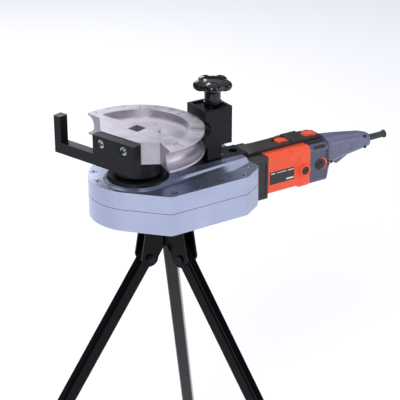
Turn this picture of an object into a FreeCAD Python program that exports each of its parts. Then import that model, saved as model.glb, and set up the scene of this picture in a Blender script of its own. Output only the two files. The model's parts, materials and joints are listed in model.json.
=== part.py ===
import FreeCAD, Part
import math
import os
import re
import Sketcher

# Electric tube bender on a folding tripod.
# Modelling frame: drive axis vertical, +X along the machine from gearbox to handle, +Z up.
# "under" heights are measured from the gearbox's underside; the helpers add the place of the
# drive axis in the part's own frame (origin on the floor, centre of the footprint).

SIZES = {
    # place of the drive axis and of the gearbox underside in the part's frame
    "drive_x": -40.309, "drive_y": 30.726, "ground": 732.5,
    # gearbox casting
    "wall": 6.0, "lower_height": 35.0, "seal": 0.8, "box_height": 64.0, "ridge_height": 69.5,
    "near_side": 90.0, "far_side": 96.0, "box_end": 181.0, "corner_x": 142.0, "end_half": 66.0,
    "nose_x": 12.0, "nose_y": 17.0, "nose_radius": 79.0, "facet_x": 4.0,
    "screw_inset": 9.0,
    # support plate on the lid's ridge
    "plate_half": 20.0, "plate_start": 52.0, "plate_end": 191.0, "plate_bottom": 62.0,
    "pin_radius": 7.0, "pin_x": 130.0, "spare_pin_x": 175.0,
    # drive
    "shaft_radius": 15.0, "square": 20.0, "square_top": 137.0, "hub_radius": 38.0,
    "cover_radius": 48.0, "cover_top": 74.0, "play": 0.05,
    # gears: module and tooth counts
    "output_module": 2.0, "output_teeth": 48, "output_pinion_teeth": 12,
    "middle_module": 1.5, "middle_teeth": 44, "middle_pinion_teeth": 12,
    "bevel_teeth": 24, "bevel_pinion_teeth": 8, "bevel_module": 2.0,
    "lay_shaft_x": 60.0, "fast_shaft_x": 102.0, "small_shaft": 6.0, "small_bearing": 13.0,
    "output_bearing": 26.0,
    # former
    "former_radius": 102.0, "former_bottom": 110.0, "former_thick": 35.0, "tube_radius": 14.15,
    "recess_depth": 8.5, "recess_radius": 80.0, "boss_radius": 35.0, "recess_edge": 8.0,
    "chord": 42.5, "former_turn": 107.4,
    # holding bar
    "bar_thick": 16.0, "bar_start": -46.0, "bar_bottom": 95.0, "bar_step": 113.0, "bar_top": 144.0,
    "post_start": 103.5, "post_end": 118.0, "post_top": 155.0,
    # back former block and star knob
    "block_start": 106.0, "block_end": 156.0, "block_half": 26.0, "block_bottom": 97.0,
    "block_top": 157.0, "foot_half": 16.0, "foot_start": 117.0, "foot_end": 143.0,
    "knob_x": 136.0, "knob_radius": 29.0, "knob_low": 178.0, "knob_thick": 20.0,
    "stem_radius": 14.5,
    # motor unit
    "motor_axis": 26.0, "flange_low": -12.0, "flange_top": 61.0, "flange_half": 37.0,
    "flange_end": 219.0, "motor_end": 302.0, "motor_low": -7.0, "motor_top": 61.0,
    "motor_half": 36.0, "motor_wall": 3.0, "rear_end": 347.0, "rear_low": -8.5, "rear_top": 58.0,
    "rear_half": 38.0,
    "rail_half": 17.0, "rail_top": 66.6, "rail_start": 192.0, "rail_finish": 345.0,
    # tripod
    "tripod_x": 50.0, "head_radius": 60.0, "head_thick": 8.0, "pivot_out": 35.0,
    "pivot_drop": 74.0, "ear_thick": 4.0, "ear_gap": 22.4, "lobe_radius": 14.0,
    "leg_side": 21.0, "leg_wall": 2.0, "leg_tilt": 32.0, "leg_long": 764.0, "leg_stub": 24.0,
    "leg_turn": 172.0, "cap_side": 27.0, "cap_long": 55.0, "bolt_radius": 4.0,
}

doc = FreeCAD.newDocument("tube_bender")
sheet = doc.addObject("Spreadsheet::Sheet", "Sizes")
for row, (alias, number) in enumerate(SIZES.items(), start=1):
    sheet.set(f"A{row}", alias)
    sheet.set(f"B{row}", str(number))
    sheet.setAlias(f"B{row}", alias)
doc.recompute()

NODES = []
UP, ALONG, ACROSS = "up", "along", "across"
TURNS = {
    UP: FreeCAD.Rotation(),
    ALONG: FreeCAD.Rotation(FreeCAD.Vector(0, 1, 0), 90),
    ACROSS: FreeCAD.Rotation(FreeCAD.Vector(1, 0, 0), 90),
}


def link(text):
    """Puts the sheet's name before each alias in an expression."""
    return re.sub(r"[a-z_]+", lambda w: "Sizes." + w[0] if w[0] in SIZES else w[0], str(text))


def size(text):
    """The number that an expression of the sheet's cells gives now."""
    return float(sheet.evalExpression(link(text)))


def bind(item, **sizes):
    for name, text in sizes.items():
        item.setExpression(name, link(text))
    return item


def place(item, x=0, y=0, z=0, turn=None):
    """Puts an object at a point given from the drive axis and the gearbox's underside."""
    if turn is not None:
        item.Placement.Rotation = turn
    item.setExpression("Placement.Base.x", link(f"{x} + drive_x"))
    item.setExpression("Placement.Base.y", link(f"{y} + drive_y"))
    item.setExpression("Placement.Base.z", link(f"{z} + ground"))
    return item


def box(x, y, z, long, wide, high, turn=None):
    item = doc.addObject("Part::Box", "block")
    bind(item, Length=long, Width=wide, Height=high)
    return place(item, x, y, z, turn)


def cylinder(radius, high, x=0, y=0, z=0, way=UP):
    item = doc.addObject("Part::Cylinder", "rod")
    bind(item, Radius=radius, Height=high)
    return place(item, x, y, z, TURNS[way])


def cone(low, high_radius, high, x=0, y=0, z=0, way=UP):
    item = doc.addObject("Part::Cone", "taper")
    bind(item, Radius1=low, Radius2=high_radius, Height=high)
    return place(item, x, y, z, TURNS[way])


def fuse(*items):
    item = doc.addObject("Part::MultiFuse", "joined")
    item.Shapes = list(items)
    return item


def cut(base, *tools):
    item = doc.addObject("Part::Cut", "trimmed")
    item.Base = base
    item.Tool = tools[0] if len(tools) == 1 else fuse(*tools)
    return item


def common(first, second):
    item = doc.addObject("Part::Common", "shared")
    item.Base = first
    item.Tool = second
    return item


def group(*items):
    item = doc.addObject("Part::Compound", "set")
    item.Links = list(items)
    return item


def node(name, item):
    """Names a finished sub-part; its label is its file's name."""
    item.Label = name
    NODES.append(item)
    return item


def rounded(item, radius, test):
    """Fillets the edges of a finished object for which test(edge) is true."""
    doc.recompute()
    chosen = [(i, size(radius), size(radius)) for i, edge in enumerate(item.Shape.Edges, 1) if test(edge)]
    fillet = doc.addObject("Part::Fillet", "rounded")
    fillet.Base = item
    fillet.Edges = chosen
    return fillet


def upright(edge):
    a, b = edge.Vertexes[0].Point, edge.Vertexes[-1].Point
    return len(edge.Vertexes) == 2 and abs(a.x - b.x) < 0.01 and abs(a.y - b.y) < 0.01


def lengthwise(edge):
    a, b = edge.Vertexes[0].Point, edge.Vertexes[-1].Point
    return len(edge.Vertexes) == 2 and abs(a.z - b.z) < 0.01 and abs(a.y - b.y) < 0.01


def sketch_on(body, role, points):
    """A closed sketch on one of the body's origin planes.

    points are (x, y) expressions, anticlockwise; a third entry (x, y, radius) makes an arc
    through that spot to the next point.
    """
    sketch = body.newObject("Sketcher::SketchObject", "profile")
    plane = [p for p in body.Origin.OriginFeatures if p.Role == role][0]
    sketch.AttachmentSupport = [(plane, "")]
    sketch.MapMode = "FlatFace"
    spots = [FreeCAD.Vector(size(p[0]), size(p[1]), 0) for p in points]
    for i, point in enumerate(points):
        start, end = spots[i], spots[(i + 1) % len(spots)]
        if len(point) == 3:
            over = FreeCAD.Vector(size(point[2][0]), size(point[2][1]), 0)
            sketch.addGeometry(Part.Arc(start, over, end), False)
        else:
            sketch.addGeometry(Part.LineSegment(start, end), False)
    for i, point in enumerate(points):
        following = (i + 1) % len(points)
        sketch.addConstraint(Sketcher.Constraint("Coincident", i, 2, following, 1))
        if len(point) == 3:
            at = sketch.addConstraint(Sketcher.Constraint("Radius", i, size(point[2][2])))
            sketch.setExpression(f"Constraints[{at}]", link(point[2][2]))
        for kind, text, axis in (("DistanceX", point[0], -2), ("DistanceY", point[1], -1)):
            number = size(text)
            if abs(number) < 1e-9:
                sketch.addConstraint(Sketcher.Constraint("PointOnObject", i, 1, axis))
                continue
            at = sketch.addConstraint(Sketcher.Constraint(kind, -1, 1, i, 1, number))
            sketch.setExpression(f"Constraints[{at}]", link(text))
    return sketch


def padded(role, points, high, x=0, y=0, z=0, turn=None):
    """A PartDesign body: one closed profile, padded."""
    body = doc.addObject("PartDesign::Body", "body")
    sketch = sketch_on(body, role, points)
    pad = body.newObject("PartDesign::Pad", "pad")
    pad.Profile = sketch
    bind(pad, Length=high)
    sketch.Visibility = False
    return place(body, x, y, z, turn)


def turned(points, x=0, y=0, z=0, way=UP, angle=360):
    """A PartDesign body: a (radius, height) profile turned about its upright axis."""
    body = doc.addObject("PartDesign::Body", "body")
    sketch = sketch_on(body, "XZ_Plane", points)
    solid = body.newObject("PartDesign::Revolution", "turning")
    solid.Profile = sketch
    solid.ReferenceAxis = (sketch, ["V_Axis"])
    solid.Angle = angle
    return place(body, x, y, z, TURNS[way])


# ---------------------------------------------------------------- gearbox casting

def box_outline(inset):
    """Plan of the casting, moved in by inset: blunt end, sides, cut corner and round nose."""
    nose = f"(nose_radius - {inset})"
    low_x, low_y = f"nose_x - {nose} * 0.7071", f"nose_y - {nose} * 0.7071"
    return [
        (f"box_end - {inset}", f"-end_half + {inset} * 0.55"),
        (f"box_end - {inset}", f"end_half + 6 - {inset} * 0.55"),
        (f"corner_x - {inset} * 0.3", f"far_side - {inset}"),
        ("nose_x", f"nose_y + {nose}", (f"nose_x - {nose} * 0.9239", f"nose_y + {nose} * 0.3827", nose)),
        (low_x, low_y),
        (f"facet_x + {inset} * 0.4", f"-near_side + {inset}"),
        (f"corner_x - {inset} * 0.3", f"-near_side + {inset}"),
    ]


def box_slab(inset, low, high):
    return padded("XY_Plane", box_outline(inset), high, z=low)


def cast_slab(low, high):
    """A full-size slab of the casting with its upright outer corners rounded."""
    return rounded(box_slab("0", low, high), "12", lambda e: upright(e) and is_outer(e))


SHAFTS = [("0", "output_bearing"), ("lay_shaft_x", "small_bearing"), ("fast_shaft_x", "small_bearing")]
LOWER_SEATS = [("4", "12"), ("2", "7"), ("2", "7")]
UPPER_SEATS = [("51", "11"), ("51", "8"), ("51", "8")]


def lower_housing():
    bowl = cut(cast_slab("0", "lower_height"), box_slab("wall", "wall", "lower_height"))
    bosses = [cylinder(f"{race} + 5", f"{low} + {high} - 3", x=x, z="3")
              for (x, race), (low, high) in zip(SHAFTS, LOWER_SEATS)]
    seats = [cylinder(race, "40", x=x, z=low) for (x, race), (low, high) in zip(SHAFTS, LOWER_SEATS)]
    motor_bore = cylinder("20", "30", x="box_end - 20", z="motor_axis", way=ALONG)
    tapped = [cylinder("3", "16", x="tripod_x + 44 * %.4f" % math.cos(a), y="44 * %.4f" % math.sin(a), z="-8")
              for a in head_bolt_angles()]
    return node("gearbox_lower_housing", cut(fuse(bowl, *bosses), *seats, motor_bore, *tapped))


def head_bolt_angles():
    return [math.radians(112 + 120 * i) for i in range(3)]


def is_outer(edge):
    """True on the casting's outer corners."""
    spot = edge.Vertexes[0].Point
    x, y = spot.x - size("drive_x"), spot.y - size("drive_y")
    return abs(y) > size("end_half") - 1 and (x > size("corner_x") - 2 or y < 0)


def gasket():
    outer = box_slab("0.9", "lower_height + 0.02", "seal - 0.04")
    ring = cut(outer, box_slab("wall - 0.4", "lower_height", "seal"))
    gap = box("box_end - 12", "-20", "lower_height - 1", "20", "40", "3")
    return node("gearbox_gasket", cut(ring, gap))


def gearbox_lid():
    low = "lower_height + seal"
    shell = cut(cast_slab(low, f"box_height - ({low})"), box_slab("wall", low, f"box_height - wall - ({low})"))
    ridge = ridge_body()
    bosses = [cylinder(f"{race} + 5", "10", x=x, z="51") for x, race in SHAFTS]
    solid = fuse(shell, ridge, *bosses)
    seats = [cylinder(race, high, x=x, z=start) for (x, race), (start, high) in zip(SHAFTS, UPPER_SEATS)]
    cover_seat = cylinder("cover_radius + 0.3", "20", z="box_height")
    shaft_way = cylinder("22", "20", z="52")
    channel = box("plate_start - 3", "-plate_half - 0.4", "plate_bottom", "150", "2 * plate_half + 0.8", "20")
    motor_bore = cylinder("20", "30", x="box_end - 20", z="motor_axis", way=ALONG)
    notch = box("pin_x", "-plate_half - 4", "ridge_height - 1.5", "80", "8", "5")
    holes = [hole_at(x, y, "3.2", "12", "box_height - 8") for x, y in lid_screw_places()]
    holes += [cylinder("2.7", "8", x=x, z="plate_bottom - 3.1") for x in PLATE_SCREWS]
    sinks = [hole_at(x, y, "5.6", "12", "box_height - 4.5") for x, y in lid_screw_places()]
    cuts = [*seats, cover_seat, shaft_way, channel, motor_bore, notch, *holes, *sinks]
    return node("gearbox_lid", cut(solid, *cuts))


def hole_at(x, y, radius, high, z):
    return cylinder(radius, high, x=x, y=y, z=z)


def lid_screw_places():
    """Screws along both sides, at the blunt end and round the nose."""
    places = [(str(x), "-near_side + screw_inset + 2") for x in (16, 58, 100, 142)]
    places += [(str(x), "far_side - screw_inset") for x in (20, 60, 100, 142)]
    places += [("box_end - 13", "-end_half + 6"), ("box_end - 13", "end_half")]
    for angle in (120, 145, 175, 205):
        c, s = math.cos(math.radians(angle)), math.sin(math.radians(angle))
        places.append((f"nose_x + (nose_radius - screw_inset) * {c:.4f}",
                       f"nose_y + (nose_radius - screw_inset) * {s:.4f}"))
    return places


def ridge_body():
    """Raised middle of the lid: a loft from a wide foot to a narrow flat top."""
    ridge = doc.addObject("Part::Loft", "ridge")
    foot = polygon([(177, -46), (140, -62), (14, -62), (-30, -24), (-30, 28), (10, 66), (140, 66), (177, 50)],
                   "box_height - 1")
    crown = polygon([(178, -26), (140, -26), (6, -26), (-6, -14), (-6, 14), (6, 26), (140, 26), (178, 26)],
                    "ridge_height")
    ridge.Sections = [foot, crown]
    ridge.Solid = True
    ridge.Ruled = True
    return ridge


def polygon(points, z):
    item = doc.addObject("Part::Feature", "outline")
    corners = [FreeCAD.Vector(x, y, 0) for x, y in points]
    item.Shape = Part.makePolygon(corners + corners[:1])
    item.Placement.Base = FreeCAD.Vector(size("drive_x"), size("drive_y"), size(f"{z} + ground"))
    return item


def socket_screw(radius, head, x, y, z, shank, depth=2.6, head_high=4.2):
    """Hexagon socket screw standing upright, its head's foot at z."""
    body = turned([("0", f"-{shank}"), (radius, f"-{shank}"), (radius, "0"), (head, "0"),
                   (head, f"{head_high} - 0.5"), (f"{head} - 0.5", head_high), ("0", head_high)], x=x, y=y, z=z)
    socket = doc.addObject("Part::Prism", "socket")
    socket.Polygon = 6
    bind(socket, Circumradius=f"{head} * 0.55", Height="10")
    place(socket, x, y, f"{z} + {head_high} - {depth}")
    return cut(body, socket)


def lid_screws():
    screws = [socket_screw("2.9", "5.2", x, y, "box_height - 4.4", "3.4") for x, y in lid_screw_places()]
    return node("lid_screws", group(*screws))


PLATE_SCREWS = ("66", "96", "150")


def support_plate():
    plate = box("plate_start", "-plate_half", "plate_bottom + 0.05", "plate_end - plate_start",
                "2 * plate_half", "ridge_height - plate_bottom - 0.05")
    pins = [cylinder("pin_radius", "20", x=x, z="plate_bottom - 5") for x in ("pin_x", "spare_pin_x")]
    sinks = [cone("2.6", "6.6", "4", x=x, z="ridge_height - 3.9") for x in PLATE_SCREWS]
    shanks = [cylinder("2.6", "12", x=x, z="plate_bottom - 1") for x in PLATE_SCREWS]
    return node("support_plate", cut(plate, *pins, *sinks, *shanks))


def support_screws():
    screws = []
    for x in PLATE_SCREWS:
        outline = [("0", "-3"), ("2.4", "-3"), ("2.4", "3.3"), ("5.6", "6.8"), ("0", "6.8")]
        body = turned(outline, x=x, z="plate_bottom + 0.3")
        socket = cylinder("2", "4", x=x, z="plate_bottom + 5")
        screws.append(cut(body, socket))
    return node("support_plate_screws", group(*screws))


def bearing_cover():
    ring = turned([("22", "0"), ("cover_radius", "0"), ("cover_radius", "cover_top - box_height - 3"),
                   ("cover_radius - 3", "cover_top - box_height"), ("22", "cover_top - box_height")],
                  z="box_height + 0.05")
    return node("bearing_cover", ring)


# ---------------------------------------------------------------- drive and gears

def bearing(inner, outer, high, x=0, y=0, z=0, way=UP):
    """Ball bearing drawn as one ring with a groove in each face between its races."""
    third = f"({outer} - {inner}) * 0.33"
    inside = f"{inner} + 0.05"
    out = f"{outer} - 0.03"
    return turned([(inside, "0"), (f"{inner} + {third}", "0"), (f"{inner} + {third}", "1"),
                   (f"{outer} - {third}", "1"), (f"{outer} - {third}", "0"), (out, "0"), (out, high),
                   (f"{outer} - {third}", high), (f"{outer} - {third}", f"{high} - 1"),
                   (f"{inner} + {third}", f"{high} - 1"), (f"{inner} + {third}", high), (inside, high)],
                  x=x, y=y, z=z, way=way)


def tooth_ring(teeth, module, phase):
    """Closed outline of a spur gear with plain tapered teeth and generous backlash."""
    pitch_radius = teeth * module / 2
    tip, root = pitch_radius + 0.75 * module, pitch_radius - 1.1 * module
    pitch = 2 * math.pi / teeth
    points = []
    for tooth in range(teeth):
        middle = tooth * pitch + phase * pitch
        for radius, half in ((root, 0.27), (tip, 0.11)):
            points.append((radius, middle - half * pitch))
        for radius, half in ((tip, 0.11), (root, 0.27)):
            points.append((radius, middle + half * pitch))
    corners = [FreeCAD.Vector(r * math.cos(a), r * math.sin(a), 0) for r, a in points]
    return Part.makePolygon(corners + corners[:1])


def spur(teeth, module, low, high, bore, phase, hub=0, hub_high=0):
    face = Part.Face(tooth_ring(teeth, module, phase))
    solid = face.extrude(FreeCAD.Vector(0, 0, high))
    solid.translate(FreeCAD.Vector(0, 0, low))
    if hub:
        solid = solid.fuse(Part.makeCylinder(hub, hub_high, FreeCAD.Vector(0, 0, low - hub_high)))
    hole = Part.makeCylinder(bore, high + hub_high + 2, FreeCAD.Vector(0, 0, low - hub_high - 1))
    return solid.cut(hole).removeSplitter()


def feature(name, shape, x=0, y=0, z=0, turn=None):
    item = doc.addObject("Part::Feature", name)
    item.Shape = shape
    base = FreeCAD.Vector(size(f"{x} + drive_x"), size(f"{y} + drive_y"), size(f"{z} + ground"))
    item.Placement = FreeCAD.Placement(base, turn or FreeCAD.Rotation())
    return item


def bevel(teeth, other, face_long, bore, phase):
    """Straight bevel gear about Z with its pitch cone's apex at the origin, opening downwards."""
    module = size("bevel_module")
    cone_angle = math.atan2(teeth, other)
    far = math.hypot(teeth, other) * module / 2
    near = far - face_long
    tip_turn, root_turn = 0.8 * module / far, 1.1 * module / far
    pitch = 2 * math.pi / teeth

    def spot(distance, angle, azimuth):
        return FreeCAD.Vector(distance * math.sin(angle) * math.cos(azimuth),
                              distance * math.sin(angle) * math.sin(azimuth), -distance * math.cos(angle))

    root_angle, tip_angle = cone_angle - root_turn, cone_angle + tip_turn
    blank = [(far * math.sin(root_angle), -far * math.cos(root_angle)),
             (near * math.sin(root_angle), -near * math.cos(root_angle))]
    back = -far * math.cos(root_angle) - 2.5
    corners = [FreeCAD.Vector(bore, 0, blank[1][1]), FreeCAD.Vector(blank[1][0], 0, blank[1][1]),
               FreeCAD.Vector(blank[0][0], 0, blank[0][1]), FreeCAD.Vector(blank[0][0] - 0.5, 0, back),
               FreeCAD.Vector(bore, 0, back)]
    wheel = Part.Face(Part.makePolygon(corners + corners[:1])).revolve(
        FreeCAD.Vector(), FreeCAD.Vector(0, 0, 1), 360)
    teeth_solids = []
    for tooth in range(teeth):
        middle = (tooth + phase) * pitch
        rings = []
        for distance in (near + 0.05, far - 0.05):
            low = root_angle - 0.02
            quad = [spot(distance, low, middle - 0.26 * pitch),
                    spot(distance, tip_angle, middle - 0.10 * pitch),
                    spot(distance, tip_angle, middle + 0.10 * pitch),
                    spot(distance, low, middle + 0.26 * pitch)]
            rings.append(Part.makePolygon(quad + quad[:1]))
        teeth_solids.append(Part.makeLoft(rings, True, True))
    return wheel.fuse(teeth_solids).removeSplitter()


def about_up(angle):
    return FreeCAD.Rotation(FreeCAD.Vector(0, 0, 1), angle)


FORMER_WAY = about_up(size("former_turn"))


def square_bar(side, low, high):
    half = f"({side}) / 2"
    corners = [(f"-{half}", f"-{half}"), (half, f"-{half}"), (half, half), (f"-{half}", half)]
    return padded("XY_Plane", corners, high, z=low, turn=FORMER_WAY)


def drive_shaft():
    post = turned([("0", "0"), ("13", "0"), ("shaft_radius", "2"), ("shaft_radius", "cover_top - 5"),
                   ("0", "cover_top - 5")], z="5")
    return node("drive_shaft", fuse(post, square_bar("square", "cover_top - 2", "square_top - cover_top + 2")))


def drive_hub():
    disc = turned([("0", "0"), ("hub_radius - 3", "0"), ("hub_radius", "3"),
                   ("hub_radius", "former_bottom - cover_top - 1"),
                   ("0", "former_bottom - cover_top - 1")], z="cover_top + 0.6")
    return node("drive_hub", cut(disc, square_bar("square + 2 * play", "cover_top - 5", "60")))


def gears():
    gap = size("play")
    output = spur(SIZES["output_teeth"], SIZES["output_module"], 20, 18, size("shaft_radius") + gap, 0, 24, 3)
    node("output_gear", feature("output_gear", output))
    pinion = spur(SIZES["output_pinion_teeth"], SIZES["output_module"], 19, 20, size("small_shaft") + gap, 0.5)
    node("output_pinion", feature("output_pinion", pinion, x="lay_shaft_x"))
    wheel = spur(SIZES["middle_teeth"], SIZES["middle_module"], 41, 8, size("small_shaft") + gap, 0)
    node("middle_gear", feature("middle_gear", wheel, x="lay_shaft_x"))
    small = spur(SIZES["middle_pinion_teeth"], SIZES["middle_module"], 40.5, 9, size("small_shaft") + gap, 0.5)
    node("middle_pinion", feature("middle_pinion", small, x="fast_shaft_x"))
    crown = bevel(SIZES["bevel_teeth"], SIZES["bevel_pinion_teeth"], 8, size("small_shaft") + gap, 0)
    node("bevel_gear", feature("bevel_gear", crown, x="fast_shaft_x", z="motor_axis"))
    nose = bevel(SIZES["bevel_pinion_teeth"], SIZES["bevel_teeth"], 8, 3.5 + gap, 0.5)
    toward = FreeCAD.Rotation(FreeCAD.Vector(0, 1, 0), -90)
    node("motor_pinion", feature("motor_pinion", nose, x="fast_shaft_x", z="motor_axis", turn=toward))


def lay_shafts():
    for name, x in (("lay_shaft", "lay_shaft_x"), ("fast_shaft", "fast_shaft_x")):
        rod = turned([("0", "2.5"), ("small_shaft - 1", "2.5"), ("small_shaft", "3.5"), ("small_shaft", "57"),
                      ("small_shaft - 1", "58"), ("0", "58")], x=x)
        node(name, rod)


def gearbox_bearings():
    big = [bearing("shaft_radius", "output_bearing", "11", z="4.2"),
           bearing("shaft_radius", "output_bearing", "10.5", z="51.2")]
    small = [bearing("small_shaft", "small_bearing", high, x=x, z=z)
             for x in ("lay_shaft_x", "fast_shaft_x") for high, z in (("6.8", "2.1"), ("7.5", "51.2"))]
    node("gearbox_bearings", group(*big, *small))


# ---------------------------------------------------------------- former, bar and back former

def former():
    """Disc with a tube groove round its rim and one flat side; the groove stops at a notch by the hook.

    In the former's own plan +x points at the hook and +y across the flat side.
    """
    rim = "former_radius"
    plan = [(rim, "0"), ("73.3", "3.9"), ("35", "chord"), ("-38.7", "chord"), ("-62.4", "19.8"),
            (f"-{rim} * 0.934", f"{rim} * 0.3572", ("0", f"-{rim}", rim))]
    disc = padded("XY_Plane", plan, "former_thick", z="former_bottom", turn=FORMER_WAY)
    ring = doc.addObject("Part::Torus", "groove")
    bind(ring, Radius1="former_radius", Radius2="tube_radius")
    ring.Angle3 = 210
    place(ring, z="former_bottom + former_thick / 2", turn=about_up(size("former_turn") + 155))
    pocket = cut(recess_prism(), cylinder("boss_radius", "40", z="former_bottom"))
    drive_hole = square_bar("square + 4 * play", "former_bottom - 1", "former_thick + 2")
    screw_holes = [bar_screw_axis(u, "3.6", "30", "chord - 24") for u in BAR_SCREWS]
    solid = cut(disc, ring, pocket, drive_hole, *screw_holes)
    return node("bending_former", solid)


def recess_prism():
    """The shallow recess: the part of a round pocket that lies beyond a straight wall."""
    high = "recess_depth + 5"
    low = "former_bottom + former_thick - recess_depth"
    round_pocket = cylinder("recess_radius", high, z=low)
    reach = [("-150", "-150"), ("150", "-150"), ("150", "-recess_edge"), ("-150", "-recess_edge")]
    return common(round_pocket, padded("XY_Plane", reach, high, z=low, turn=FORMER_WAY))


BAR_SCREWS = ("21", "-24")
BAR_SCREW_HEIGHT = "former_bottom + 22"


def bar_screw_axis(u, radius, high, start):
    """A cylinder square to the flat side, at u along it, starting at the given distance out."""
    item = cylinder(radius, high)
    way = FORMER_WAY.multiply(FreeCAD.Rotation(FreeCAD.Vector(1, 0, 0), -90))
    spot = FORMER_WAY.multVec(FreeCAD.Vector(float(u), size(start), 0))
    return place(item, f"{spot.x:.5f}", f"{spot.y:.5f}", BAR_SCREW_HEIGHT, way)


def holding_bar():
    """Thick plate screwed to the flat side; its foot runs out to a post that hooks the tube."""
    out, back = "chord + bar_thick + 0.1", "chord + 0.1"
    side = [("bar_start", "bar_bottom"), ("post_end", "bar_bottom"), ("post_end", "post_top"),
            ("post_start", "post_top"), ("post_start", "bar_step"), ("37.5", "bar_step"),
            ("37.5", "bar_top"), ("bar_start", "bar_top")]
    way = FORMER_WAY.multiply(FreeCAD.Rotation(FreeCAD.Vector(1, 0, 0), 90))
    spot = FORMER_WAY.multVec(FreeCAD.Vector(0, size(out), 0))
    plate = padded("XY_Plane", side, "bar_thick", turn=way)
    place(plate, f"{spot.x:.5f}", f"{spot.y:.5f}", "0", way)
    shanks = [bar_screw_axis(u, "4.3", "40", f"{back} - 10") for u in BAR_SCREWS]
    heads = [bar_screw_axis(u, "7.4", "20", f"{out} - 9") for u in BAR_SCREWS]
    body = rounded(cut(plate, *shanks, *heads), "1.2", lambda e: upright(e) and e.Length > 20)
    return node("holding_bar", body)


def bar_screws():
    screws = []
    for u in BAR_SCREWS:
        shank = bar_screw_axis(u, "3.5", "38", "chord - 20")
        head = bar_screw_axis(u, "6.6", "7.6", "chord + bar_thick - 8.8")
        socket = bar_screw_axis(u, "3.2", "10", "chord + bar_thick - 5.2")
        screws.append(cut(fuse(shank, head), socket))
    return node("bar_screws", group(*screws))


def back_former():
    """Block that backs the tube: groove along Y on its face, a foot and a locating pin."""
    block = box("block_start", "-block_half", "block_bottom", "block_end - block_start", "2 * block_half",
                "block_top - block_bottom")
    groove = cylinder("tube_radius", "80", x="former_radius", y="40",
                      z="former_bottom + former_thick / 2", way=ACROSS)
    top = box("block_start + 5", "-block_half + 5", "block_top - 3", "block_end - block_start - 10",
              "2 * block_half - 10", "10")
    spindle_way = cylinder("6.1", "120", x="knob_x", z="block_bottom - 40")
    foot = box("foot_start", "-foot_half", "ridge_height + 0.4", "foot_end - foot_start", "2 * foot_half",
               "block_bottom - ridge_height - 0.4")
    body = rounded(cut(block, groove), "1.5", lambda e: upright(e) and e.Length > 50)
    return node("back_former", cut(fuse(body, foot), top, spindle_way))


def back_pin():
    pin = turned([("0", "0"), ("pin_radius - 1.1", "0"), ("pin_radius - play", "1"), ("pin_radius - play", "7"),
                  ("0", "7")], x="pin_x", z="plate_bottom + 0.6")
    return node("back_former_pin", pin)


def star_knob():
    """Five rounded lobes round a domed middle, on a stem with a threaded spindle below."""
    head = doc.addObject("Part::Cylinder", "middle")
    bind(head, Radius="knob_radius * 0.74", Height="knob_thick")
    place(head, "knob_x", 0, "knob_low")
    lobes = []
    for i in range(5):
        angle = math.radians(72 * i + 20)
        x = f"knob_x + knob_radius * 0.66 * {math.cos(angle):.4f}"
        y = f"knob_radius * 0.66 * {math.sin(angle):.4f}"
        lobes.append(cylinder("knob_radius * 0.34", "knob_thick", x=x, y=y, z="knob_low"))
    stem = turned([("0", "0"), ("stem_radius", "0"), ("stem_radius", "8"), ("stem_radius - 2", "12"),
                   ("stem_radius - 1", "knob_low - block_top + 4"), ("0", "knob_low - block_top + 4")],
                  x="knob_x", z="block_top - 2.6")
    body = rounded(fuse(head, *lobes, stem), "2.5", on_knob_rim)
    return node("star_knob", body)


def on_knob_rim(edge):
    spots = [v.Point.z - size("ground") for v in edge.Vertexes]
    low, high = size("knob_low"), size("knob_low + knob_thick")
    flat = all(abs(z - low) < 0.01 for z in spots) or all(abs(z - high) < 0.01 for z in spots)
    return flat and len(edge.Vertexes) == 2


def knob_spindle():
    rod = turned([("0", "0"), ("5", "0"), ("5.9", "1.5"), ("5.9", "block_top - block_bottom - 4.8"),
                  ("0", "block_top - block_bottom - 4.8")], x="knob_x", z="block_bottom + 2")
    return node("knob_spindle", rod)


# ---------------------------------------------------------------- motor unit

def motor_flange():
    plate = box("box_end + 0.1", "-flange_half", "flange_low", "flange_end - box_end - 0.1", "2 * flange_half",
                "flange_top - flange_low")
    bore = cylinder("16", "60", x="box_end - 10", z="motor_axis", way=ALONG)
    spigot = cut(cylinder("19.8", "12", x="box_end - 9", z="motor_axis", way=ALONG),
                 cylinder("16", "40", x="box_end - 20", z="motor_axis", way=ALONG))
    rail_way = box("box_end - 5", "-rail_half - 0.5", "flange_top - 1", "60", "2 * rail_half + 1", "5")
    body = rounded(cut(plate, bore), "3", lambda e: lengthwise(e) and e.Length > 30)
    screws = [cylinder("2.7", "80", x="box_end - 5", y=y, z=z, way=ALONG) for y, z in flange_screw_places()]
    sinks = [cylinder("5.4", "8", x="flange_end - 6", y=y, z=z, way=ALONG) for y, z in flange_screw_places()]
    return node("motor_flange", cut(fuse(body, spigot), rail_way, *screws, *sinks))


def flange_screw_places():
    return [(f"{y} * 27", z) for y in (-1, 1) for z in ("3", "48")]


def flange_screws():
    screws = []
    for y, z in flange_screw_places():
        shank = cylinder("2.6", "32", x="box_end + 0.6", y=y, z=z, way=ALONG)
        head = cylinder("4.6", "5", x="flange_end - 5.9", y=y, z=z, way=ALONG)
        screws.append(fuse(shank, head))
    return node("flange_screws", group(*screws))


def section(x, low, high, half, corner):
    """Rounded rectangle standing square to X at x, as a wire in the drive frame."""
    inward = corner * (1 - math.sqrt(0.5))
    edges = []
    turns = [(half, low, -1, 1), (half, high, -1, -1), (-half, high, 1, -1), (-half, low, 1, 1)]
    ends = []
    for k, (y, z, to_y, to_z) in enumerate(turns):
        first = FreeCAD.Vector(x, y + to_y * corner, z)
        second = FreeCAD.Vector(x, y, z + to_z * corner)
        middle = FreeCAD.Vector(x, y + to_y * inward, z + to_z * inward)
        start, end = (first, second) if k % 2 == 0 else (second, first)
        ends.append((start, middle, end))
    for k, (start, middle, end) in enumerate(ends):
        edges.append(Part.Arc(start, middle, end).toShape())
        edges.append(Part.LineSegment(end, ends[(k + 1) % 4][0]).toShape())
    return Part.Wire(edges)


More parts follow.
